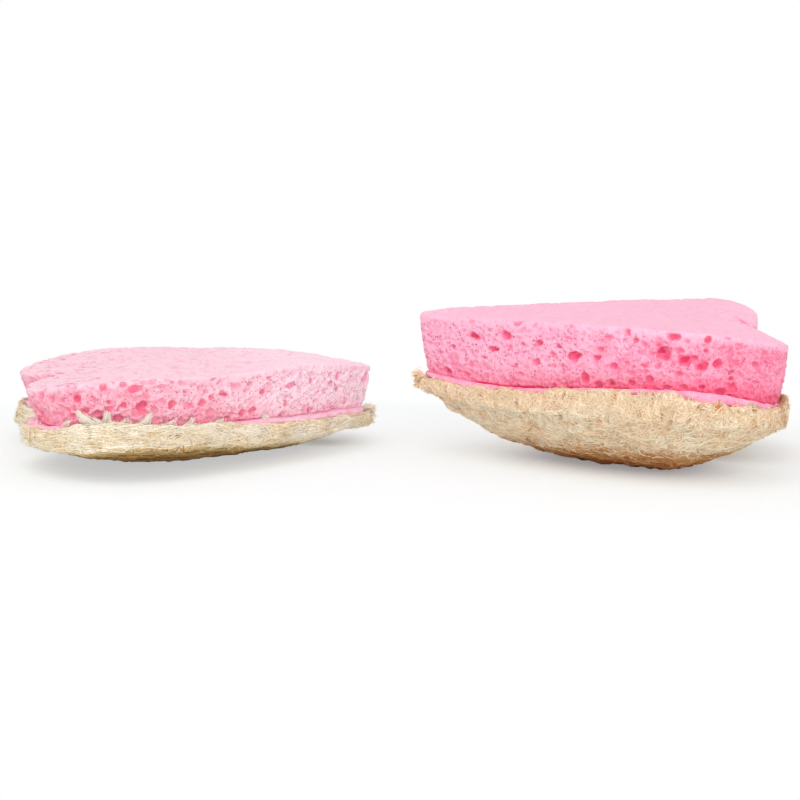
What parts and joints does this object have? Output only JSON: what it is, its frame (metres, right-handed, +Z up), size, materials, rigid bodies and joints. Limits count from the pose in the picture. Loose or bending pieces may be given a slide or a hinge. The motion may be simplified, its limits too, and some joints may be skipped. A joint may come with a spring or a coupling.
{
  "type": "exfoliating sponge set",
  "caption": "Heart-shaped exfoliating sponges lying point to point, each a pink cellulose block glued over a thin backing sheet on a bowl-bottomed loofah pad.",
  "frame": {"origin": "on the surface that the set lies on, under the middle of its bounding box", "axes": "+X from the thin left sponge to the thick right sponge, +Z up, -Y towards the viewer"},
  "size_m": [0.2376, 0.1078, 0.0449],
  "materials": {
    "right_cellulose": "matte open-celled sponge",
    "left_cellulose": "matte open-celled sponge, paler",
    "backing": "smooth matte sheet",
    "right_loofah": "matte matted plant fibre, tan",
    "left_loofah": "matte matted plant fibre, straw yellow"
  },
  "bodies": {
    "root": {"right_sponge_block": "right_cellulose", "right_backing_sheet": "backing", "right_loofah_pad": "right_loofah", "left_sponge_block": "left_cellulose", "left_backing_sheet": "backing", "left_loofah_pad": "left_loofah"}
  },
  "joints": []
}
